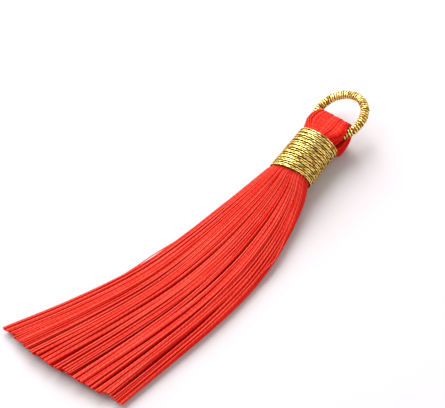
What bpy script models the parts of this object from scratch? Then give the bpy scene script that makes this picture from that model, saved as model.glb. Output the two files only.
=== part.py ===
"""Yarn tassel on a ring, lying on its side on a flat surface.

A hank of red yarn is folded over a ring wound with gold thread, bound below the fold with 24 turns
of gold thread, and cut level at its far end. Metres, +Z up. The origin is on the surface, under the
middle of the binding; +Y runs along the head towards the ring, and the skirt fans out towards -Y.
"""

import math
import random
from collections import namedtuple

import bmesh
import bpy
from mathutils import Matrix, Vector

MM = 0.001
CLEARANCE = 0.3 * MM

# The binding: a tight sleeve of gold thread, with its lowest strip flat on the surface.
BINDING_LENGTH = 12.0 * MM
BINDING_RADIUS = 5.0 * MM
BINDING_TURNS = 24
BINDING_COLUMNS = 24
BINDING_WALL = 0.55 * MM
THREAD_RELIEF = 0.15 * MM
AXIS_HEIGHT = 4.85 * MM

# The ring: a closed hoop wound all round with the same thread, tipped up on its right and far sides.
RING_RADIUS = 6.13 * MM
RING_THICKNESS = 2.05 * MM
RING_CENTRE = Vector((0.14, 14.14, 5.5)) * MM
RING_ROLL = math.radians(-20.7)
RING_PITCH = math.radians(10.7)
RING_TURNS = 64
RING_SIDES = 8

# The eye that the fold leaves round the ring is a teardrop, pointed towards the binding.
EYE_POINT = 3.2 * MM
EYE_STEPS = 72
EYE_SIDES = 12

# The yarn: strands across the hank and through it, and the neck that the binding grips.
COLUMNS = 28
LAYERS = 4
NECK_RADIUS = (BINDING_RADIUS - BINDING_WALL) * math.cos(math.pi / BINDING_COLUMNS) - CLEARANCE
ROOT_Y = -6.1 * MM

# The fold over the ring: two flat legs of yarn that meet in a half-round top. The lower leg is the
# wider one, and it lies a little to the right.
FOLD_TOP_Y = 13.4 * MM
FOLD_HALF_THICKNESS = 4.4 * MM
FOLD_STRAND_RELIEF = 0.014
FoldSection = namedtuple("FoldSection", "y upper_half_width lower_half_width half_thickness square")
FOLD_LEGS = [
    FoldSection(6.2 * MM, NECK_RADIUS, NECK_RADIUS, NECK_RADIUS, 0.0),
    FoldSection(6.8 * MM, 4.75 * MM, 4.75 * MM, 4.35 * MM, 0.4),
    FoldSection(7.7 * MM, 5.0 * MM, 5.0 * MM, 4.45 * MM, 0.7),
]
FOLD_TOP_TURNS = [math.radians(angle) for angle in (0, 22, 42, 60, 75, 87)]
FOLD_FOOT_HALF_WIDTH = 5.0 * MM
FOLD_TOP_UPPER_HALF_WIDTH = 3.8 * MM
FOLD_TOP_LOWER_HALF_WIDTH = 4.8 * MM
LOWER_LEG_SHIFT = 0.5 * MM
FOLD_SQUARE = 0.75

# The skirt: a row for each section of the fan, from the binding's lower edge to the cut end. Left
# and right are its two edges, floor and height its underside and thickness at the middle, square
# tells a round section (0) from a flat-bottomed one (1), and drop is how much thinner its edges are.
SkirtSection = namedtuple("SkirtSection", "y left right floor height square drop")
SKIRT = [
    SkirtSection(-7.2 * MM, -5.0 * MM, 5.1 * MM, 0.3 * MM, 8.6 * MM, 0.1, 0.02),
    SkirtSection(-11.0 * MM, -6.8 * MM, 6.7 * MM, 0.0, 7.5 * MM, 0.35, 0.2),
    SkirtSection(-19.0 * MM, -9.0 * MM, 8.1 * MM, 0.0, 6.0 * MM, 0.8, 0.4),
    SkirtSection(-31.0 * MM, -11.7 * MM, 8.5 * MM, 0.0, 4.9 * MM, 1.0, 0.5),
    SkirtSection(-44.0 * MM, -15.6 * MM, 7.3 * MM, 0.0, 4.3 * MM, 1.0, 0.5),
    SkirtSection(-58.0 * MM, -22.2 * MM, 4.8 * MM, 0.0, 3.8 * MM, 1.0, 0.5),
    SkirtSection(-71.5 * MM, -29.8 * MM, 2.3 * MM, 0.0, 3.4 * MM, 1.0, 0.5),
]

# The locks: how they part from each other, gather into bunches and end unevenly.
LOCK_GAP = 0.008
LAYER_SQUEEZE = 0.25
BUNCHES = (3, 2, 4, 3, 2, 3, 4, 2, 3, 2)
BUNCH_PULL = 0.16
LOCK_TAPER = 0.12
LAYER_STAGGER = 0.5
TOP_UNEVENNESS = 0.35 * MM
END_UNEVENNESS = 0.7 * MM
END_BOW = 1.8 * MM
UNDERSIDE_SHORTER = 1.2 * MM

RED = (0.80, 0.045, 0.032, 1.0)
GOLD = (0.62, 0.42, 0.09, 1.0)


def clear_scene():
    for obj in list(bpy.data.objects):
        bpy.data.objects.remove(obj, do_unlink=True)


def make_material(name, colour, roughness, metallic):
    material = bpy.data.materials.new(name)
    material.use_nodes = True
    shader = material.node_tree.nodes["Principled BSDF"]
    shader.inputs["Base Color"].default_value = colour
    shader.inputs["Roughness"].default_value = roughness
    shader.inputs["Metallic"].default_value = metallic
    return material


def make_object(name, bm, material=None):
    bmesh.ops.recalc_face_normals(bm, faces=bm.faces)
    mesh = bpy.data.meshes.new(name)
    bm.to_mesh(mesh)
    bm.free()
    obj = bpy.data.objects.new(name, mesh)
    bpy.context.scene.collection.objects.link(obj)
    if material:
        mesh.materials.append(material)
        mesh.shade_smooth()
        mesh.set_sharp_from_angle(angle=math.radians(50))
    return obj


def make_loop(bm, points):
    """A closed outline, drawn as vertices joined by edges."""
    corners = [bm.verts.new(point) for point in points]
    for start, end in zip(corners, corners[1:] + corners[:1]):
        bm.edges.new((start, end))


def spin_outline(bm, axis, steps):
    """Turns everything drawn so far once round the axis through the origin."""
    outline = bm.verts[:] + bm.edges[:]
    bmesh.ops.spin(
        bm, geom=outline, cent=(0, 0, 0), axis=axis, angle=math.tau, steps=steps, use_merge=True
    )
    bmesh.ops.remove_doubles(bm, verts=bm.verts, dist=0.001 * MM)


def make_binding(gold):
    """The sleeve of wound thread: one rib for each turn, turned about the head's axis."""
    bm = bmesh.new()
    valley = BINDING_RADIUS - THREAD_RELIEF
    inside = BINDING_RADIUS - BINDING_WALL
    half_turn = BINDING_LENGTH / BINDING_TURNS / 2
    outline = []
    for step in range(2 * BINDING_TURNS + 1):
        radius = BINDING_RADIUS if step % 2 else valley
        outline.append((radius, step * half_turn - BINDING_LENGTH / 2, 0))
    outline += [(inside, BINDING_LENGTH / 2, 0), (inside, -BINDING_LENGTH / 2, 0)]
    make_loop(bm, outline)
    spin_outline(bm, (0, 1, 0), BINDING_COLUMNS)
    flat_reach = math.sin(1.5 * math.tau / BINDING_COLUMNS)
    middle_of_wall = (valley + inside) / 2
    for vert in bm.verts:
        radius = math.hypot(vert.co.x, vert.co.z)
        under = vert.co.z < 0 and abs(vert.co.x) < flat_reach * radius
        vert.co.z += AXIS_HEIGHT
        if under and radius > middle_of_wall:
            vert.co.z = 0
    return make_object("binding", bm, gold)


def ring_placement():
    tilt = Matrix.Rotation(RING_PITCH, 4, "X") @ Matrix.Rotation(RING_ROLL, 4, "Y")
    return Matrix.Translation(RING_CENTRE) @ tilt


def make_ring(gold):
    """The hoop, with a rib for each turn of the thread wound on it."""
    bm = bmesh.new()
    outline = []
    for side in range(RING_SIDES):
        angle = math.tau * side / RING_SIDES
        across = math.cos(angle) * RING_THICKNESS / 2
        outline.append((RING_RADIUS + across, 0, math.sin(angle) * RING_THICKNESS / 2))
    make_loop(bm, outline)
    spin_outline(bm, (0, 0, 1), 2 * RING_TURNS)
    for vert in bm.verts:
        step = round(math.atan2(vert.co.y, vert.co.x) / math.tau * 2 * RING_TURNS)
        if step % 2:
            core = Vector((vert.co.x, vert.co.y, 0)).normalized() * RING_RADIUS
            shrink = 1 - THREAD_RELIEF / RING_THICKNESS
            vert.co = core + (vert.co - core) * shrink
    ring = make_object("ring", bm, gold)
    ring.matrix_world = ring_placement()
    return ring


def make_eye_cutter():
    """The space round the ring: a teardrop section whose point faces away from the ring's centre."""
    bm = bmesh.new()
    radius = (RING_THICKNESS / 2 + CLEARANCE) / math.cos(math.pi / EYE_SIDES)
    opening = math.acos(radius / EYE_POINT)
    outline = [(RING_RADIUS + EYE_POINT, 0, 0)]
    for side in range(EYE_SIDES + 1):
        angle = opening + (math.tau - 2 * opening) * side / EYE_SIDES
        outline.append((RING_RADIUS + math.cos(angle) * radius, 0, math.sin(angle) * radius))
    make_loop(bm, outline)
    spin_outline(bm, (0, 0, 1), EYE_STEPS)
    cutter = make_object("eye_cutter", bm)
    cutter.matrix_world = ring_placement()
    cutter.hide_render = True
    cutter.display_type = "WIRE"
    return cutter


def fold_sections():
    """The sections of the two legs, then of the half-round top where they meet."""
    top_centre = FOLD_TOP_Y - FOLD_HALF_THICKNESS
    sections = list(FOLD_LEGS)
    for turn in FOLD_TOP_TURNS:
        rise = math.sin(turn)
        sections.append(
            FoldSection(
                top_centre + rise * FOLD_HALF_THICKNESS,
                FOLD_FOOT_HALF_WIDTH + rise * (FOLD_TOP_UPPER_HALF_WIDTH - FOLD_FOOT_HALF_WIDTH),
                FOLD_FOOT_HALF_WIDTH + rise * (FOLD_TOP_LOWER_HALF_WIDTH - FOLD_FOOT_HALF_WIDTH),
                math.cos(turn) * FOLD_HALF_THICKNESS,
                FOLD_SQUARE,
            )
        )
    return sections


def section_point(u, v, square):
    """A point of the unit square, moved to the unit disc as far as the section is round."""
    disc = Vector((u * math.sqrt(1 - v * v / 2), v * math.sqrt(1 - u * u / 2)))
    return disc.lerp(Vector((u, v)), square)


def fold_point(u, v, section):
    """A point of the neck or of the fold, ribbed along its strands."""
    across, up = section_point(u, v, section.square)
    lower = (1 - up) / 2
    half_width = section.upper_half_width * (1 - lower) + section.lower_half_width * lower
    x = across * half_width + LOWER_LEG_SHIFT * lower * section.square
    ribbed = FOLD_STRAND_RELIEF * (section.square > 0)
    column = round((u + 1) / 2 * COLUMNS)
    rib = 1 + (ribbed if column % 2 else -ribbed)
    return Vector((x, section.y, AXIS_HEIGHT + up * section.half_thickness * rib))


def bunch_centres():
    """For each column of locks, the middle of the bunch that it gathers into."""
    centres = []
    for size in BUNCHES:
        middle = (len(centres) + size / 2) / COLUMNS * 2 - 1
        centres += [middle] * size
    return centres


def skirt_point(u, v, row, lock, centres):
    """A corner of a lock in one section of the skirt. A lock is its column, layer and unevenness."""
    section = SKIRT[row]
    spread = row / (len(SKIRT) - 1)
    middle = ((lock.column + 0.5) / COLUMNS * 2 - 1, (lock.layer + 0.5) / LAYERS * 2 - 1)
    u += (middle[0] - u) * LOCK_TAPER * spread
    if lock.layer == 0 and v < middle[1]:
        v = -1
    else:
        v += (middle[1] - v) * LOCK_TAPER * spread
    u += (centres[lock.column] - u) * BUNCH_PULL * spread
    u += (lock.layer % 2 - 0.5) * LAYER_STAGGER * min(1, 2 * spread) * 2 / COLUMNS
    across, up = section_point(u, v, section.square)
    half_width = (section.right - section.left) / 2
    x = (section.right + section.left) / 2 + across * half_width
    thickness = section.height * (1 - section.drop * u * u)
    z = section.floor + (up + 1) / 2 * thickness
    if lock.layer == LAYERS - 1 and v > middle[1]:
        z += lock.lift * TOP_UNEVENNESS * spread
    y = section.y
    if row == len(SKIRT) - 1:
        y += END_BOW * (u * u - 0.5) + lock.length * END_UNEVENNESS
        y += UNDERSIDE_SHORTER * (1 - v) / 2
    return Vector((x, y, z))


Lock = namedtuple("Lock", "column layer lift length")


def make_hank(red, cutter):
    """The yarn, drawn first as a straight block of strands and then bent into the fold and skirt.

    In the block, x and y are places across and through the hank, and z counts its sections: the
    fold's above 0, the roots of the locks at 0 and the skirt's below.
    """
    rng = random.Random(7)
    locks = {}
    for column in range(COLUMNS):
        for layer in range(LAYERS):
            locks[column, layer] = Lock(column, layer, rng.uniform(-1, 1), rng.uniform(-1, 1))

    bm = bmesh.new()
    bmesh.ops.create_grid(bm, x_segments=COLUMNS, y_segments=LAYERS, size=1)
    roots = bm.faces[:]
    for vert in bm.verts:
        vert.co.y *= LAYER_SQUEEZE
    folds = fold_sections()
    top = roots
    for level, _ in enumerate(folds):
        grown = bmesh.ops.extrude_face_region(bm, geom=top)["geom"]
        if level > 0:
            bmesh.ops.delete(bm, geom=top, context="FACES")
        top = [item for item in grown if isinstance(item, bmesh.types.BMFace)]
        moved = [item for item in grown if isinstance(item, bmesh.types.BMVert)]
        bmesh.ops.translate(bm, verts=moved, vec=(0, 0, 1))
    ends = roots
    bmesh.ops.inset_individual(bm, faces=ends, thickness=LOCK_GAP, use_even_offset=True)
    for _ in SKIRT:
        grown = bmesh.ops.extrude_discrete_faces(bm, faces=ends)
        ends = grown["faces"]
        moved = {vert for face in ends for vert in face.verts}
        bmesh.ops.translate(bm, verts=list(moved), vec=(0, 0, -1))

    centres = bunch_centres()
    neck = FoldSection(ROOT_Y, NECK_RADIUS, NECK_RADIUS, NECK_RADIUS, 0.0)
    for vert in bm.verts:
        u = vert.co.x
        v = vert.co.y / LAYER_SQUEEZE
        level = round(vert.co.z)
        if level > 0:
            vert.co = fold_point(u, v, folds[level - 1])
        elif level == 0:
            vert.co = fold_point(u, v, neck)
        else:
            column = min(int((u + 1) / 2 * COLUMNS), COLUMNS - 1)
            layer = min(int((v + 1) / 2 * LAYERS), LAYERS - 1)
            vert.co = skirt_point(u, v, -level - 1, locks[column, layer], centres)
    hank = make_object("yarn_hank", bm, red)
    eye = hank.modifiers.new("eye", "BOOLEAN")
    eye.operation = "DIFFERENCE"
    eye.solver = "EXACT"
    eye.object = cutter
    return hank


clear_scene()
red_yarn = make_material("red_yarn", RED, 0.6, 0.0)
gold_thread = make_material("gold_thread", GOLD, 0.35, 0.9)
make_binding(gold_thread)
make_ring(gold_thread)
make_hank(red_yarn, make_eye_cutter())
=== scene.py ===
"""Red yarn tassel on a ring wound with gold thread, laid on its side on a pale table.

Metres, +Z up. The origin is on the table, under the middle of the gold binding; +Y runs along the
head towards the ring, and the skirt fans out towards -Y.
"""

import math
import random

import bmesh
import bpy
from mathutils import Matrix, Vector, noise


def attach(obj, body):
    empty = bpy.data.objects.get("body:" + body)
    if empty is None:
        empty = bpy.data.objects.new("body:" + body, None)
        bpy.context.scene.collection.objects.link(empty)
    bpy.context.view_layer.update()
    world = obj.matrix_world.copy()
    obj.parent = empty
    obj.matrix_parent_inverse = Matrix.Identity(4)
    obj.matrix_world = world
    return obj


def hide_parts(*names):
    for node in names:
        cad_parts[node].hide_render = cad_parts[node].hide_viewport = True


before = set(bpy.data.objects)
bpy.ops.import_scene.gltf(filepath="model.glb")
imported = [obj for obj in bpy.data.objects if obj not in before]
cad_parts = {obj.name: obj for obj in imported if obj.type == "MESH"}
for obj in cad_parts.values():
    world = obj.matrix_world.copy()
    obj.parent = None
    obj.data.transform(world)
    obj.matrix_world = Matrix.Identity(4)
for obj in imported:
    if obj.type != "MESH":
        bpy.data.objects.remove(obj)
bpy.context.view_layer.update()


# The ring is a closed hoop of stiff cord, about 14 mm across, wound all round with a gold thread of
# two plies twisted together. It is free in the yarn's fold: it lies tipped up on its right side.

MM = 0.001
RING_RADIUS = 6.13 * MM
RING_THICKNESS = 2.05 * MM
RING_CENTRE = Vector((0.14, 14.14, 5.5)) * MM
RING_ROLL = math.radians(-20.7)
RING_PITCH = math.radians(10.7)
RING_TURNS = 64
RING_TWISTS = 160
RING_STEPS = 30 * RING_TURNS
RING_UNEVENNESS = 1.6
RING_CORE = 0.82 * MM
RING_THREAD_REACH = 0.29 * MM
RING_THREAD_DEPTH = RING_THREAD_REACH * 0.9
FILM_WRAP_PITCH = 0.16
# The gold's colours: painted shade where the thread turns under, its own gold where it faces out, a
# painted glint, and the colour of its reflections.
GOLD_PAINTED_SHADE = (0.070, 0.018, 0.001, 1.0)
GOLD_FACING_OUT = (1.0, 0.65, 0.13, 1.0)
GOLD_PAINTED_GLINT = (1.0, 0.88, 0.38, 1.0)
GOLD_EDGE_TINT = (1.0, 0.70, 0.40, 1.0)
# Very dark colours for the ring's cord, which the binding's sleeve also takes as painted shade
# between the turns.
CORE_AND_GAP_SHADE_DARK = (0.04, 0.010, 0.001, 1.0)
CORE_AND_GAP_SHADE_LIGHT = (0.20, 0.07, 0.008, 1.0)

# Half of the twisted thread's section, from the crest of one ply to the next: degrees and share of
# its widest reach. The groove between the plies is at 90 degrees.
PLY_SECTION = [(0, 1.0), (47, 0.82), (90, 0.52), (133, 0.82)]


def thread_section(reach):
    """The outline of two plies side by side."""
    half = [(math.radians(angle), share * reach) for angle, share in PLY_SECTION]
    return half + [(angle + math.pi, radius) for angle, radius in half]


def lay_strand(bm, path, section, shade, twists=0.0, closed=False):
    """Adds one strand: a strip of faces laid along the path and rolled up round it.

    A path is a list of points, each with the direction that the section's 0 degrees leans to and
    the factor that scales the section there. The map runs once round the strand and, in millimetres,
    along it. The shade value, from 0 to 1, is partly the strand's own random tone and partly painted
    shade, which the yarn's strands get where they lie in shade. Facing is 1 on the side it leans to.
    """
    sides = len(section)
    steps = len(path) if closed else len(path) - 1
    around_and_along = bm.loops.layers.uv.verify()
    tone_and_shade_layer = bm.verts.layers.float.get("shade") or bm.verts.layers.float.new("shade")
    facing = bm.verts.layers.float.get("facing") or bm.verts.layers.float.new("facing")
    grid = bmesh.ops.create_grid(bm, x_segments=sides, y_segments=steps, size=1)["verts"]
    places = [point for point, _, _ in path]
    reached = [0.0]
    for step in range(steps):
        reached.append(reached[-1] + (places[(step + 1) % len(path)] - places[step]).length)
    frames = []
    for step, (point, lean, thickness) in enumerate(path):
        ahead = places[(step + 1) % len(path)] if closed else places[min(step + 1, steps)]
        behind = places[step - 1] if closed else places[max(step - 1, 0)]
        along = (ahead - behind).normalized()
        side = (lean - along * lean.dot(along)).normalized()
        frames.append((point, side, along.cross(side), thickness))
    for face in {face for vert in grid for face in vert.link_faces}:
        for loop in face.loops:
            corner = loop.vert.co
            step = round((corner.y + 1) / 2 * steps)
            loop[around_and_along].uv = ((corner.x + 1) / 2, reached[step] / MM)
    for vert in grid:
        vert[tone_and_shade_layer] = shade
        step = round((vert.co.y + 1) / 2 * steps)
        angle, radius = section[round((vert.co.x + 1) / 2 * sides) % sides]
        angle += math.tau * twists * step / steps
        vert[facing] = math.cos(angle)
        point, side, up, thickness = frames[step % len(frames)]
        vert.co = point + (side * math.cos(angle) + up * math.sin(angle)) * radius * thickness
    bmesh.ops.remove_doubles(bm, verts=grid, dist=1e-7)


def finish_strands(name, bm, material, node, sharp_above=75):
    """Closes the strands' ends and makes the piece, which stands for one solid of the frame."""
    ends = [edge for edge in bm.edges if edge.is_boundary]
    bmesh.ops.holes_fill(bm, edges=ends, sides=0)
    bmesh.ops.recalc_face_normals(bm, faces=bm.faces)
    mesh = bpy.data.meshes.new(name)
    bm.to_mesh(mesh)
    bm.free()
    mesh.materials.append(material)
    mesh.shade_smooth()
    mesh.set_sharp_from_angle(angle=math.radians(sharp_above))
    piece = bpy.data.objects.new(name, mesh)
    bpy.context.scene.collection.objects.link(piece)
    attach(piece, "root")
    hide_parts(node)


class Shade:
    """One output of a node in a finish. Sums written on it add the nodes that work them out."""

    def __init__(self, socket):
        self.socket = socket
        self.tree = socket.id_data

    def node(self, kind, settings, inputs, output=0):
        """Adds a node: first its settings, then the values or links of its sockets."""
        made = self.tree.nodes.new(kind)
        for name, value in settings.items():
            setattr(made, name, value)
        for name, value in inputs.items():
            if isinstance(value, Shade):
                self.tree.links.new(value.socket, made.inputs[name])
            else:
                made.inputs[name].default_value = value
        return Shade(made.outputs[output])

    def sum(self, operation, *values):
        return self.node("ShaderNodeMath", {"operation": operation}, dict(enumerate(values)))

    def __add__(self, other):
        return self.sum("ADD", self, other)

    def __radd__(self, other):
        return self.sum("ADD", other, self)

    def __sub__(self, other):
        return self.sum("SUBTRACT", self, other)

    def __rsub__(self, other):
        return self.sum("SUBTRACT", other, self)

    def __mul__(self, other):
        return self.sum("MULTIPLY", self, other)

    def __rmul__(self, other):
        return self.sum("MULTIPLY", other, self)

    def __pow__(self, other):
        return self.sum("POWER", self, other)

    def __abs__(self):
        return self.sum("ABSOLUTE", self)

    def sine(self):
        return self.sum("SINE", self)

    def between(self, low, high):
        """0 at low and below, 1 at high and above, on a smooth curve."""
        ends = {"Value": self, "From Min": low, "From Max": high}
        return self.node("ShaderNodeMapRange", {"interpolation_type": "SMOOTHSTEP"}, ends)

    def blend(self, dark, light):
        """The colour from dark to light, as this value goes from 0 to 1."""
        inputs = {"Factor": self, 6: dark, 7: light}
        return self.node("ShaderNodeMix", {"data_type": "RGBA"}, inputs, 2)

    def drive(self, shader, name):
        self.tree.links.new(self.socket, shader.inputs[name])


def start_finish(name):
    """A new material, with the map round and along its strands and the places on the object."""
    material = bpy.data.materials.new(name)
    material.use_nodes = True
    shader = material.node_tree.nodes["Principled BSDF"]
    places = material.node_tree.nodes.new("ShaderNodeTexCoord")
    strand_map = Shade(places.outputs["UV"])
    around = strand_map.node("ShaderNodeSeparateXYZ", {}, {0: strand_map}, 0)
    along = strand_map.node("ShaderNodeSeparateXYZ", {}, {0: strand_map}, 1)
    return material, shader, around, along, Shade(places.outputs["Object"])


def gold_finish():
    """Metallised thread wound with film, gold where it faces out and with painted shade, dark brown,
    where it turns under and in the groove between its plies.

    Painted shine comes in dashes along the thread, with painted glints on its outer face, and the
    film's fine wraps run round it as a bump.
    """
    material, shader, around, along, place = start_finish("gold_thread_finish")
    crest = abs((around * math.tau + math.pi / 2).sine())
    outer = place.node("ShaderNodeAttribute", {"attribute_name": "facing"}, {}, "Fac")
    along_it = {"W": along, "Scale": 0.5, "Detail": 1.5}
    dashes = place.node("ShaderNodeTexNoise", {"noise_dimensions": "1D"}, along_it)
    glints = place.node("ShaderNodeTexNoise", {}, {"Vector": place, "Scale": 2600.0, "Detail": 1.0})
    # Painted light and shade: lighter in dashes of shine along the thread, darker in the groove
    # between the plies and, on the next line, where the thread turns under.
    painted_light_and_shade = (0.42 + 0.58 * dashes.between(0.36, 0.50)) * (0.75 + 0.25 * crest.between(0.35, 0.9))
    painted_light_and_shade = painted_light_and_shade * outer.between(0.1, 0.8)
    deep = painted_light_and_shade.blend(GOLD_PAINTED_SHADE, GOLD_FACING_OUT)
    # Painted glints: the pale gold goes into the colour where the fine noise peaks on the outer face,
    # inside the dashes of shine.
    painted_glints = glints.between(0.36, 0.56) * outer.between(0.5, 0.9)
    painted_glints = painted_glints * dashes.between(0.40, 0.50)
    mixed = {0: painted_glints, 6: deep, 7: GOLD_PAINTED_GLINT}
    colour = painted_glints.node("ShaderNodeMix", {"data_type": "RGBA"}, mixed, 2)
    colour.drive(shader, "Base Color")
    (0.42 - 0.16 * glints.between(0.4, 0.7)).drive(shader, "Roughness")
    wraps = (along * (math.tau / FILM_WRAP_PITCH) + around * math.tau).sine()
    bump = place.node(
        "ShaderNodeBump",
        {},
        {"Strength": 0.35, "Distance": 0.03 * MM, "Height": wraps * 0.3 + glints},
    )
    bump.drive(shader, "Normal")
    shader.inputs["Metallic"].default_value = 0.9
    shader.inputs["Specular Tint"].default_value = GOLD_EDGE_TINT
    return material


gold = gold_finish()
ring_place = Matrix.Translation(RING_CENTRE)
ring_place @= Matrix.Rotation(RING_PITCH, 4, "X") @ Matrix.Rotation(RING_ROLL, 4, "Y")
ring_thread_centre = RING_THICKNESS / 2 - RING_THREAD_DEPTH
path = []
for step in range(RING_STEPS):
    round_hoop = math.tau * step / RING_STEPS
    outward = Vector((math.cos(round_hoop), math.sin(round_hoop), 0))
    round_cord = round_hoop * RING_TURNS + RING_UNEVENNESS * noise.noise(outward * 9)
    lean = outward * math.cos(round_cord) + Vector((0, 0, math.sin(round_cord)))
    place = outward * RING_RADIUS + lean * ring_thread_centre
    path.append((place, lean, 1.0))
bm = bmesh.new()
lay_strand(bm, path, thread_section(RING_THREAD_REACH), 0.5, RING_TWISTS, closed=True)
bmesh.ops.transform(bm, matrix=ring_place, verts=bm.verts)
finish_strands("ring_thread", bm, gold, "ring")


def core_and_gap_shade_finish():
    """The dull, very dark cord under the ring's gold thread, which shows only between its turns.
    On the binding this colour is a sleeve that paints the shade in the gaps between the turns.
    """
    material = bpy.data.materials.new("core_and_gap_shade_finish")
    material.use_nodes = True
    shader = material.node_tree.nodes["Principled BSDF"]
    places = material.node_tree.nodes.new("ShaderNodeTexCoord")
    place = Shade(places.outputs["Object"])
    weave = place.node("ShaderNodeTexNoise", {}, {"Vector": place, "Scale": 3000.0, "Detail": 2.0})
    colour = weave.between(0.3, 0.7).blend(CORE_AND_GAP_SHADE_DARK, CORE_AND_GAP_SHADE_LIGHT)
    colour.drive(shader, "Base Color")
    (0.6 + 0.2 * weave).drive(shader, "Roughness")
    shader.inputs["Specular IOR Level"].default_value = 0.1
    return material


core_and_gap_shade = core_and_gap_shade_finish()
bm = bmesh.new()
bmesh.ops.create_circle(bm, segments=16, radius=RING_CORE)
bmesh.ops.rotate(bm, verts=bm.verts, cent=(0, 0, 0), matrix=Matrix.Rotation(math.pi / 2, 3, "X"))
bmesh.ops.translate(bm, verts=bm.verts, vec=(RING_RADIUS, 0, 0))
bmesh.ops.spin(
    bm,
    geom=bm.verts[:] + bm.edges[:],
    cent=(0, 0, 0),
    axis=(0, 0, 1),
    angle=math.tau,
    steps=96,
    use_merge=True,
)
bmesh.ops.transform(bm, matrix=ring_place, verts=bm.verts)
finish_strands("ring_core", bm, core_and_gap_shade, "ring")


# The skirt is the free yarn below the binding: hundreds of red strands, combed into loose bunches
# and cut level. They lie on top of each other on the table, thick at the neck and flat at the end.

SKIRT_STEPS = 20
YARN_RADIUS = 0.25 * MM
SKIRT_TOP = -3.4 * MM
SKIRT_END = -71.5 * MM
END_BOW = 1.8 * MM
UNDERSIDE_SHORTER = 1.2 * MM
FILAMENTS = 3
FILAMENT_PITCH = 1.1
# The dark end is the pure red that yarn takes in shade, the paler end carries a painted sheen; the
# finish blends them by each strand's own tone and the painted shade.
YARN_DARK = (0.56, 0.0008, 0.0004, 1.0)
YARN_LIGHT = (0.69, 0.089, 0.057, 1.0)
YARN_SECTION = [(math.tau * side / 6, 1.0) for side in range(6)]
# Each row is a section of the fan, in millimetres: its place along Y, left edge, right edge,
# underside, thickness, how square it is, and how much thinner its edges are.
SKIRT_SECTIONS = [
    (-3.4, -4.3, 4.3, 0.55, 8.6, 0.0, 0.0),
    (-5.9, -4.45, 4.45, 0.4, 8.9, 0.0, 0.0),
    (-7.2, -5.25, 5.15, 0.1, 9.2, 0.1, 0.02),
    (-11.0, -6.8, 6.7, 0.0, 7.9, 0.35, 0.2),
    (-19.0, -9.0, 8.1, 0.0, 6.2, 0.8, 0.4),
    (-31.0, -11.8, 8.5, 0.0, 5.0, 1.0, 0.5),
    (-44.0, -15.7, 7.4, 0.0, 4.4, 1.0, 0.5),
    (-58.0, -22.4, 4.9, 0.0, 3.9, 1.0, 0.5),
    (-71.5, -30.4, 2.3, 0.0, 3.4, 1.0, 0.5),
    (-75.0, -32.5, 1.6, 0.0, 3.3, 1.0, 0.5),
]


def section_at(y):
    """The fan's section at a place along Y, on smooth curves through the rows."""
    rows = [[value * MM for value in row[:5]] + list(row[5:]) for row in SKIRT_SECTIONS]
    lower = next(i for i, row in enumerate(rows) if row[0] <= y or row is rows[-1])
    lower = max(lower, 1)
    start, end = rows[lower - 1], rows[lower]
    before, after = rows[max(lower - 2, 0)], rows[min(lower + 1, len(rows) - 1)]
    span = end[0] - start[0]
    t = (y - start[0]) / span
    values = []
    for a, b, c, d in zip(before, start, end, after):
        leave = (c - a) / (end[0] - before[0]) * span
        arrive = (d - b) / (after[0] - start[0]) * span
        value = (2 * t**3 - 3 * t**2 + 1) * b + (t**3 - 2 * t**2 + t) * leave
        values.append(value + (3 * t**2 - 2 * t**3) * c + (t**3 - t**2) * arrive)
    return values


def section_point(u, v, square):
    """A point of the unit square, moved to the unit disc as far as the section is round."""
    disc = Vector((u * math.sqrt(1 - v * v / 2), v * math.sqrt(1 - u * u / 2)))
    return disc.lerp(Vector((u, v)), min(max(square, 0), 1))


def ease(t):
    """0 up to 0 and 1 from 1 on, with a smooth curve between."""
    t = min(max(t, 0), 1)
    return t * t * (3 - 2 * t)


def yarn_finish():
    """Dyed yarn with a silky face: fine twisted filaments, each strand a little lighter or darker by
    its own tone and by painted shade. Painted shade darkens the filaments' grooves and each strand's
    sides, and the paler end of the colours holds a painted sheen.
    """
    material, shader, around, along, place = start_finish("red_yarn_finish")
    own = place.node("ShaderNodeAttribute", {"attribute_name": "shade"}, {}, "Fac")
    cloudy = place.node("ShaderNodeTexNoise", {}, {"Vector": place, "Scale": 240.0, "Detail": 3.0})
    fuzz = place.node("ShaderNodeTexNoise", {}, {"Vector": place, "Scale": 5500.0, "Detail": 2.0})
    # Painted shade: the twisted filaments' stripes are darker in their grooves; they also make the
    # bump.
    filaments = (around * (math.tau * FILAMENTS) + along * (math.tau / FILAMENT_PITCH)).sine()
    lighter = own * 0.55 + cloudy.between(0.3, 0.7) * 0.1 + fuzz.between(0.3, 0.7) * 0.2
    lighter = lighter + filaments.between(-0.7, 0.9) * 0.25
    # Painted shade: each strand is darker on its sides, where it meets its neighbours.
    sides = abs(place.node("ShaderNodeAttribute", {"attribute_name": "facing"}, {}, "Fac"))
    lighter = lighter * (1.12 - 0.8 * sides.between(0.35, 0.95))
    colour = (lighter**1.6).blend(YARN_DARK, YARN_LIGHT)
    colour.drive(shader, "Base Color")
    (0.40 + 0.25 * fuzz).drive(shader, "Roughness")
    bump = place.node(
        "ShaderNodeBump",
        {},
        {"Strength": 0.45, "Distance": 0.03 * MM, "Height": filaments * 0.4 + fuzz},
    )
    bump.drive(shader, "Normal")
    shader.inputs["Specular IOR Level"].default_value = 0.03
    return material


red_yarn = yarn_finish()
rng = random.Random(11)

# The layers from the top down: strands across, radius at the end in millimetres, and how many of
# them share a place at the neck, where the others lie under it. Shares of the thickness at end and
# neck follow.
SKIRT_LAYERS = [(96, 0.19, 3, 0.11, 0.17)] * 3 + [(48, 0.32, 2, 0.1675, 0.1225)] * 4
TUFTS_IN_BUNCHES = (2, 1, 3, 2, 2, 1, 3, 2, 3, 1, 2, 3, 2, 1, 2)
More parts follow.
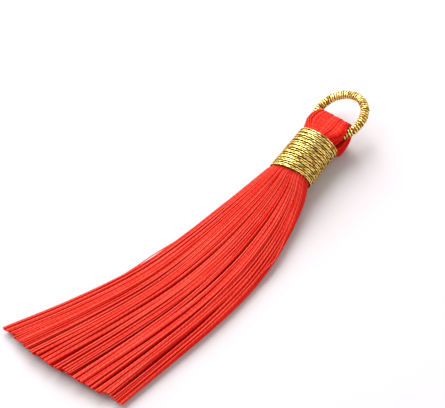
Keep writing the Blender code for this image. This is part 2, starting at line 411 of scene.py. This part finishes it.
# Strands that stand off the edges, by layer and column: side, place along Y and reach along it, in
# millimetres.
LOOSE_STRANDS = {(1, 0): (-1, -38.5, 9.0), (2, 95): (1, -27.5, 6.0), (0, 95): (1, -24.0, 5.0)}
LOOSE_REACH = 0.65 * MM
CROSSING_SHARE = 0.11
CROSSING_DRIFT = 7
CROSSING_LIFT = 0.10 * MM
RIPPLE = 0.05 * MM
SUNK_DEPTH = 0.25 * MM
TUFT_PULL = 0.10
BUNCH_PULL = 0.06
TUFT_LENGTHS = 0.28
STRAND_LENGTHS = 0.18
TUFT_GAP = 0.36
TUFT_DIP = 0.42
BUNCH_DIP = 0.15
TUFT_LIFT = 0.09
BINDING_LEAN = 0.24
BINDING_YAW = 0.15
SLANT_FROM = 4 * MM
SLANT_FADE = 11 * MM
AXIS_HEIGHT = 4.85 * MM


def slant(place):
    """How far the binding's lower rim, wound a little askew, runs off square at a place on it."""
    return place.x * BINDING_YAW - (place.z - AXIS_HEIGHT) * BINDING_LEAN


# The tufts from left to right, in bunches of one to three. Each lies in its own way.
tufts = []
for count in TUFTS_IN_BUNCHES:
    length = rng.uniform(-1, 1)
    lift = rng.uniform(-1, 1)
    for number in range(count):
        tufts.append(
            {
                "share": rng.uniform(0.55, 1.45),
                "bunch": (number, count),
                "length": length + rng.uniform(-0.4, 0.4),
                "lift": lift + rng.uniform(-1, 1),
                "sway": rng.uniform(-0.8, 0.8),
                "waves": rng.uniform(3.5, 7.0),
                "start": rng.uniform(0, math.tau),
            }
        )
reached = 0
for tuft in tufts:
    tuft["width"] = tuft["share"] / sum(other["share"] for other in tufts)
    tuft["from"] = reached
    reached += tuft["width"]

bm = bmesh.new()
end_depth = 0.0
neck_depth = 0.0
for layer, (columns, radius, neck_share, end_part, neck_part) in enumerate(SKIRT_LAYERS):
    radius *= MM
    for column in range(columns):
        across = (column + 0.5 + rng.uniform(-0.3, 0.3)) / columns
        tuft = next(other for other in reversed(tufts) if other["from"] <= across)
        number, count = tuft["bunch"]
        edge = (across - tuft["from"]) / tuft["width"] * 2 - 1
        bunch_edge = ((edge + 1) / 2 + number) / count * 2 - 1
        pulled = across - (edge * TUFT_PULL + bunch_edge * BUNCH_PULL) * tuft["width"]
        sunk = rng.random() ** 4 * SUNK_DEPTH
        end_u = pulled * 2 - 1
        end_v = 1 - (end_depth + end_part * (0.5 + rng.uniform(-0.2, 0.2))) * 2
        order = (column * 2 + layer) % neck_share
        neck_u = (column // neck_share + 0.5 + rng.uniform(-0.3, 0.3)) * neck_share / columns
        neck_u = neck_u * 2 - 1
        neck_v = 1 - (neck_depth + neck_part * (order + 0.5) / neck_share) * 2
        surfaces_at = 0.1 if order == 0 else rng.uniform(0.3, 0.9)
        tip = SKIRT_END + END_BOW * (end_u * end_u - 0.5) + UNDERSIDE_SHORTER * (1 - end_v) / 2
        own_length = rng.uniform(-STRAND_LENGTHS, STRAND_LENGTHS)
        tip += (tuft["length"] * TUFT_LENGTHS + own_length) * MM
        wander = rng.uniform(0, math.tau)
        drift = rng.uniform(-0.5, 0.5) / columns
        crossing = rng.random() < CROSSING_SHARE
        if crossing:
            drift *= CROSSING_DRIFT
        path = []
        for step in range(SKIRT_STEPS + 1):
            t = (step / SKIRT_STEPS) ** 1.25
            y = SKIRT_TOP + (tip - SKIRT_TOP) * t
            _, left, right, floor, height, square, drop = section_at(y)
            free = ease(t * 3.2)
            u = neck_u + (end_u - neck_u) * ease(t * 1.4)
            v = neck_v + (end_v - neck_v) * ease(t / surfaces_at)
            u += drift * math.sin(t * 5 + wander) * free
            u += tuft["sway"] * tuft["width"] * math.sin(t * tuft["waves"] + tuft["start"]) * free
            gap = 0.5 + 0.5 * math.sin(t * tuft["waves"] * 1.7 + tuft["start"] * 2 + edge)
            u -= edge * tuft["width"] * TUFT_GAP * gap * free
            u = min(max(u, -1), 1)
            thick = radius * (0.82 + 0.18 * free)
            over, up = section_point(u, v, square)
            x = (left + right) / 2 + over * ((right - left) / 2 - thick)
            thickness = height * (1 - drop * u * u)
            z = floor + thick + (up + 1) / 2 * (thickness - 2 * thick)
            on_top = (v + 1) / 2 * free
            dip = TUFT_DIP * edge**2 * (0.3 + 0.7 * gap) + BUNCH_DIP * bunch_edge**2
            z -= (dip * (1 - 0.4 * t) - TUFT_LIFT * tuft["lift"]) * MM * on_top
            z += (RIPPLE * math.sin(t * 9 + wander * 3) - sunk) * on_top
            z += CROSSING_LIFT * on_top * crossing
            if (layer, column) in LOOSE_STRANDS:
                side, centre, reach = LOOSE_STRANDS[layer, column]
                off = ease(1 - abs(y / MM - centre) / reach)
                x += side * LOOSE_REACH * off
                thick *= 1 - 0.4 * off
            place = Vector((x, y, max(z, thick)))
            place.y += slant(place) * (1 - ease((-y - SLANT_FROM) / SLANT_FADE))
            path.append((place, Vector((1, 0, 0)), thick))
        # A random tone for each strand, with painted shade: strands at a tuft's edges are darker,
        # where the grooves between tufts are.
        lay_strand(bm, path, YARN_SECTION, rng.random() * 0.6 + 0.4 * (1 - edge * edge))
    end_depth += end_part
    neck_depth += neck_part
finish_strands("skirt_yarn", bm, red_yarn, "yarn_hank")


# The fold is the same yarn where the hank is doubled over the ring: it comes up out of the binding
# in an upper leg, turns round the ring in a half-round top and goes back in a wider lower leg.

FOLD_COLUMNS = 30
FOLD_LAYERS = 8
FOLD_TOP_CENTRE = 9.0 * MM
FOLD_HALF_THICKNESS = 4.4 * MM
FOLD_RIGHT_SHIFT = 0.5 * MM
# The legs' sections, in millimetres: place along Y, half the thickness, half the width, squareness.
FOLD_LEG_SECTIONS = [
    (4.6, 4.15, 4.15, 0.0),
    (5.6, 4.2, 4.2, 0.0),
    (6.2, 4.25, 4.4, 0.1),
    (6.8, 4.35, 4.75, 0.4),
    (7.7, 4.42, 5.0, 0.7),
]
LEG_HALF_WIDTH = FOLD_LEG_SECTIONS[-1][2] * MM
TOP_HALF_WIDTHS = (3.8 * MM, 4.8 * MM)
TOP_SQUARENESS = 0.75
TOP_STEPS = 15
EYE_RADIUS = RING_THICKNESS / 2 + 0.3 * MM + YARN_RADIUS
EYE_LENGTH = 4.2 * MM
# Some of the outer strands lie a little deeper: how many, and how deep, as shares of the whole.
FOLD_SUNK_STRANDS = 0.3
FOLD_SUNK_DEPTH = 0.055


def ring_at(x):
    """The middle of the ring's cord, where its near side crosses a place across the fold."""
    lean = (x - RING_CENTRE.x) / (RING_RADIUS * math.cos(RING_ROLL))
    angle = -math.acos(min(max(lean, -0.95), 0.95))
    return ring_place @ (Vector((math.cos(angle), math.sin(angle), 0)) * RING_RADIUS)


# The course of every strand, from the upper leg's foot over the top to the lower leg's foot.
course = []
for y, half_thickness, half_width, square in FOLD_LEG_SECTIONS:
    course.append((0, y * MM, half_thickness * MM, half_width * MM, square))
for step in range(TOP_STEPS + 1):
    turn = math.pi * step / TOP_STEPS
    top_width = TOP_HALF_WIDTHS[0] if turn < math.pi / 2 else TOP_HALF_WIDTHS[1]
    middle_width = (TOP_HALF_WIDTHS[0] + TOP_HALF_WIDTHS[1]) / 2
    top_width += (middle_width - top_width) * ease(1 - abs(math.cos(turn)))
    half_width = LEG_HALF_WIDTH + (top_width - LEG_HALF_WIDTH) * math.sin(turn)
    course.append((turn, FOLD_TOP_CENTRE, FOLD_HALF_THICKNESS, half_width, TOP_SQUARENESS))
for y, half_thickness, half_width, square in reversed(FOLD_LEG_SECTIONS):
    course.append((math.pi, y * MM, half_thickness * MM, half_width * MM, square))

bm = bmesh.new()
for layer in range(FOLD_LAYERS):
    for column in range(FOLD_COLUMNS):
        stagger = 0.5 + (layer % 2 - 0.5) * 0.5
        u = ((column + stagger + rng.uniform(-0.2, 0.2)) / FOLD_COLUMNS) * 2 - 1
        outward = (layer + 0.5) / FOLD_LAYERS
        if layer == FOLD_LAYERS - 1:
            outward = 1 - 0.03 * rng.random() - FOLD_SUNK_DEPTH * (rng.random() < FOLD_SUNK_STRANDS)
        drift = rng.uniform(-0.4, 0.4) / FOLD_COLUMNS
        path = []
        for turn, y, half_thickness, half_width, square in course:
            side = math.cos(turn)
            across, up = section_point(u + drift * side, outward * side, square)
            x = across * (half_width - YARN_RADIUS)
            x += FOLD_RIGHT_SHIFT * (1 - side) / 2 * square
            rounded = up / (outward * side) if abs(side) > 0.01 else 1.0
            outside = Vector((x, y, AXIS_HEIGHT + side * (half_thickness - YARN_RADIUS) * rounded))
            outside.y += math.sin(turn) * (FOLD_HALF_THICKNESS - YARN_RADIUS)
            hoop = ring_at(x)
            inside = Vector((x, hoop.y, hoop.z + side * EYE_RADIUS))
            inside.y += math.sin(turn) * EYE_RADIUS
            if y < FOLD_TOP_CENTRE:
                point = hoop.y - EYE_LENGTH
                opened = min(max((y - point) / (hoop.y - point), 0), 1) ** 0.7
                gathered = AXIS_HEIGHT + side * YARN_RADIUS
                inside = Vector((x, y, gathered + (hoop.z + side * EYE_RADIUS - gathered) * opened))
            path.append((inside.lerp(outside, outward), Vector((1, 0, 0)), 0.82 * YARN_RADIUS))
        # A random tone for each strand, with painted shade that darkens the strands towards the
        # fold's right side.
        lay_strand(bm, path, YARN_SECTION, rng.random() * 0.75 + 0.05 - 0.35 * max(u, 0) ** 2)
finish_strands("fold_yarn", bm, red_yarn, "yarn_hank")


# The binding is 24 close turns of the same gold thread, wound tight round the doubled yarn below
# the fold. Its ends are tucked in underneath, where it rests on the table.

BINDING_LENGTH = 12.0 * MM
BINDING_RADIUS = 5.0 * MM
BINDING_TURNS = 24
BINDING_TWISTS = 12.27 * BINDING_TURNS
BINDING_STEPS = 130 * BINDING_TURNS
# A dark sleeve under the turns paints the shade between them; this is its radius.
BINDING_SHADE_SLEEVE = 4.5 * MM
BINDING_WAVER = 0.1 * MM
BINDING_SINK = 0.15 * MM
STEP_OVER = 0.24
TURNS_IN_ROWS = (2, 1, 2, 2, 1, 2, 1, 2, 2, 1, 2, 1, 2, 2, 1)
TURN_SPACING = 0.38 * MM
BINDING_THREAD_REACH = 0.215 * MM
BINDING_THREAD_DEPTH = BINDING_THREAD_REACH * 0.92


def lean_of_turn(place):
    """How far a turn runs off square: all of them lean back, and the lower ones are also askew."""
    low = (BINDING_LENGTH / 2 - place.y) / BINDING_LENGTH
    return place.x * BINDING_YAW * low - (place.z - AXIS_HEIGHT) * BINDING_LEAN


# Turns that lie in one row touch, and the rows have narrow gaps between them.
turn_places = []
row_gap = (BINDING_LENGTH - BINDING_TURNS * TURN_SPACING) / len(TURNS_IN_ROWS)
reached = -BINDING_LENGTH / 2
for count in TURNS_IN_ROWS:
    turn_places += [reached + row_gap / 2 + (turn + 0.5) * TURN_SPACING for turn in range(count)]
    reached += row_gap + count * TURN_SPACING

path = []
for step in range(BINDING_STEPS + 1):
    turns = BINDING_TURNS * step / BINDING_STEPS
    angle = math.tau * turns - math.pi / 2
    outward = Vector((math.cos(angle), 0, math.sin(angle)))
    uneven = noise.noise(Vector((outward.x * 1.6, turns * 0.8, outward.z * 1.6)))
    deeper = max(noise.noise(Vector((outward.x * 1.6, turns * 0.8 + 50, outward.z * 1.6))), 0)
    place = outward * (BINDING_RADIUS - BINDING_THREAD_DEPTH - deeper * BINDING_SINK)
    turn = min(int(turns), BINDING_TURNS - 1)
    place.y = turn_places[turn] + uneven * BINDING_WAVER
    to_last = turn_places[max(turn - 1, 0)] - turn_places[turn]
    to_next = turn_places[min(turn + 1, BINDING_TURNS - 1)] - turn_places[turn]
    place.y += to_last * ease(0.5 - (turns - turn) / STEP_OVER)
    place.y += to_next * ease(0.5 - (turn + 1 - turns) / STEP_OVER)
    place.z = max(place.z + AXIS_HEIGHT, BINDING_THREAD_REACH)
    place.y += lean_of_turn(place)
    path.append((place, outward, 1.0))
bm = bmesh.new()
lay_strand(bm, path, thread_section(BINDING_THREAD_REACH), 0.5, BINDING_TWISTS)
finish_strands("binding_thread", bm, gold, "binding")

# A thin, very dark sleeve under the turns, in place of the yarn they are wound on: painted shade,
# which shows in the gaps between the turns.
bm = bmesh.new()
bmesh.ops.create_cone(
    bm,
    cap_ends=False,
    segments=48,
    radius1=BINDING_SHADE_SLEEVE,
    radius2=BINDING_SHADE_SLEEVE,
    depth=BINDING_LENGTH - 0.5 * MM,
)
inner = bmesh.ops.duplicate(bm, geom=bm.verts[:] + bm.edges[:] + bm.faces[:])["geom"]
inner_verts = [item for item in inner if isinstance(item, bmesh.types.BMVert)]
bmesh.ops.scale(bm, verts=inner_verts, vec=(0.985, 0.985, 1))
rims = [edge for edge in bm.edges if edge.is_boundary]
bmesh.ops.bridge_loops(bm, edges=[edge for edge in rims if edge.verts[0].co.z > 0])
bmesh.ops.bridge_loops(bm, edges=[edge for edge in rims if edge.verts[0].co.z < 0])
bmesh.ops.rotate(bm, verts=bm.verts, cent=(0, 0, 0), matrix=Matrix.Rotation(math.pi / 2, 3, "X"))
bmesh.ops.translate(bm, verts=bm.verts, vec=(0, 0, AXIS_HEIGHT))
for vert in bm.verts:
    vert.co.y += lean_of_turn(vert.co)
finish_strands("binding_shade_sleeve", bm, core_and_gap_shade, "binding", 50)


# The table is a plain, nearly white sheet with a soft, matte face. Its own colours are light greys,
# which the strong light brings up to nearly white.

TABLE_DARK = (0.50, 0.475, 0.495, 1.0)
TABLE_LIGHT = (0.53, 0.505, 0.525, 1.0)
TABLE_HALF_WIDTH = 0.9

bm = bmesh.new()
bmesh.ops.create_grid(bm, x_segments=1, y_segments=1, size=TABLE_HALF_WIDTH)
mesh = bpy.data.meshes.new("table")
bm.to_mesh(mesh)
bm.free()
table = bpy.data.objects.new("table", mesh)
bpy.context.scene.collection.objects.link(table)
material = bpy.data.materials.new("table_finish")
material.use_nodes = True
shader = material.node_tree.nodes["Principled BSDF"]
places = material.node_tree.nodes.new("ShaderNodeTexCoord")
place = Shade(places.outputs["Object"])
grain = place.node("ShaderNodeTexNoise", {}, {"Vector": place, "Scale": 40.0, "Detail": 2.0})
colour = grain.blend(TABLE_DARK, TABLE_LIGHT)
colour.drive(shader, "Base Color")
shader.inputs["Roughness"].default_value = 0.8
mesh.materials.append(material)


# The light is a wide soft panel above on the left, a weaker one behind, a warm low one on the right
# and a pale room.

world = bpy.data.worlds.new("room")
world.use_nodes = True
world.node_tree.nodes["Background"].inputs["Color"].default_value = (1.0, 1.0, 1.0, 1.0)
world.node_tree.nodes["Background"].inputs["Strength"].default_value = 0.66
bpy.context.scene.world = world


def hang_panel(name, place, size, power, colour=(1.0, 1.0, 1.0)):
    lamp = bpy.data.lights.new(name, "AREA")
    lamp.shape = "SQUARE"
    lamp.size = size
    lamp.energy = power
    lamp.color = colour
    panel = bpy.data.objects.new(name, lamp)
    panel.location = place
    aim = Vector((-0.01, -0.02, 0)) - panel.location
    panel.rotation_euler = aim.to_track_quat("-Z", "Y").to_euler()
    bpy.context.scene.collection.objects.link(panel)


hang_panel("key_panel", (-0.335, 0.06, 0.34), 0.55, 4.7)
hang_panel("back_panel", (-0.22, 0.29, 0.40), 0.30, 1.6)
hang_panel("side_panel", (0.36, -0.10, 0.16), 0.25, 0.55, (1.0, 0.78, 0.58))


# The camera stands above the skirt's right side and looks down over it to the ring.

VIEW_ELEVATION = math.radians(55)
VIEW_AZIMUTH = math.radians(34.7)
VIEW_DISTANCE = 0.355
VIEW_TARGET = Vector((-9.94, -17.71, 0)) * MM
SENSOR_WIDTH = 36
PHOTO_WIDTH_PIXELS = 445
FOCAL_LENGTH_PIXELS = 1600
back = Vector(
    (
        math.sin(VIEW_AZIMUTH) * math.cos(VIEW_ELEVATION),
        -math.cos(VIEW_AZIMUTH) * math.cos(VIEW_ELEVATION),
        math.sin(VIEW_ELEVATION),
    )
)
lens = bpy.data.cameras.new("camera")
lens.sensor_width = SENSOR_WIDTH
lens.lens = SENSOR_WIDTH * FOCAL_LENGTH_PIXELS / PHOTO_WIDTH_PIXELS
lens.clip_start = 0.01
lens.clip_end = 10
camera = bpy.data.objects.new("camera", lens)
camera.location = VIEW_TARGET + back * VIEW_DISTANCE
camera.rotation_euler = (-back).to_track_quat("-Z", "Y").to_euler()
bpy.context.scene.collection.objects.link(camera)
bpy.context.scene.camera = camera
bpy.context.scene.view_settings.view_transform = "Standard"
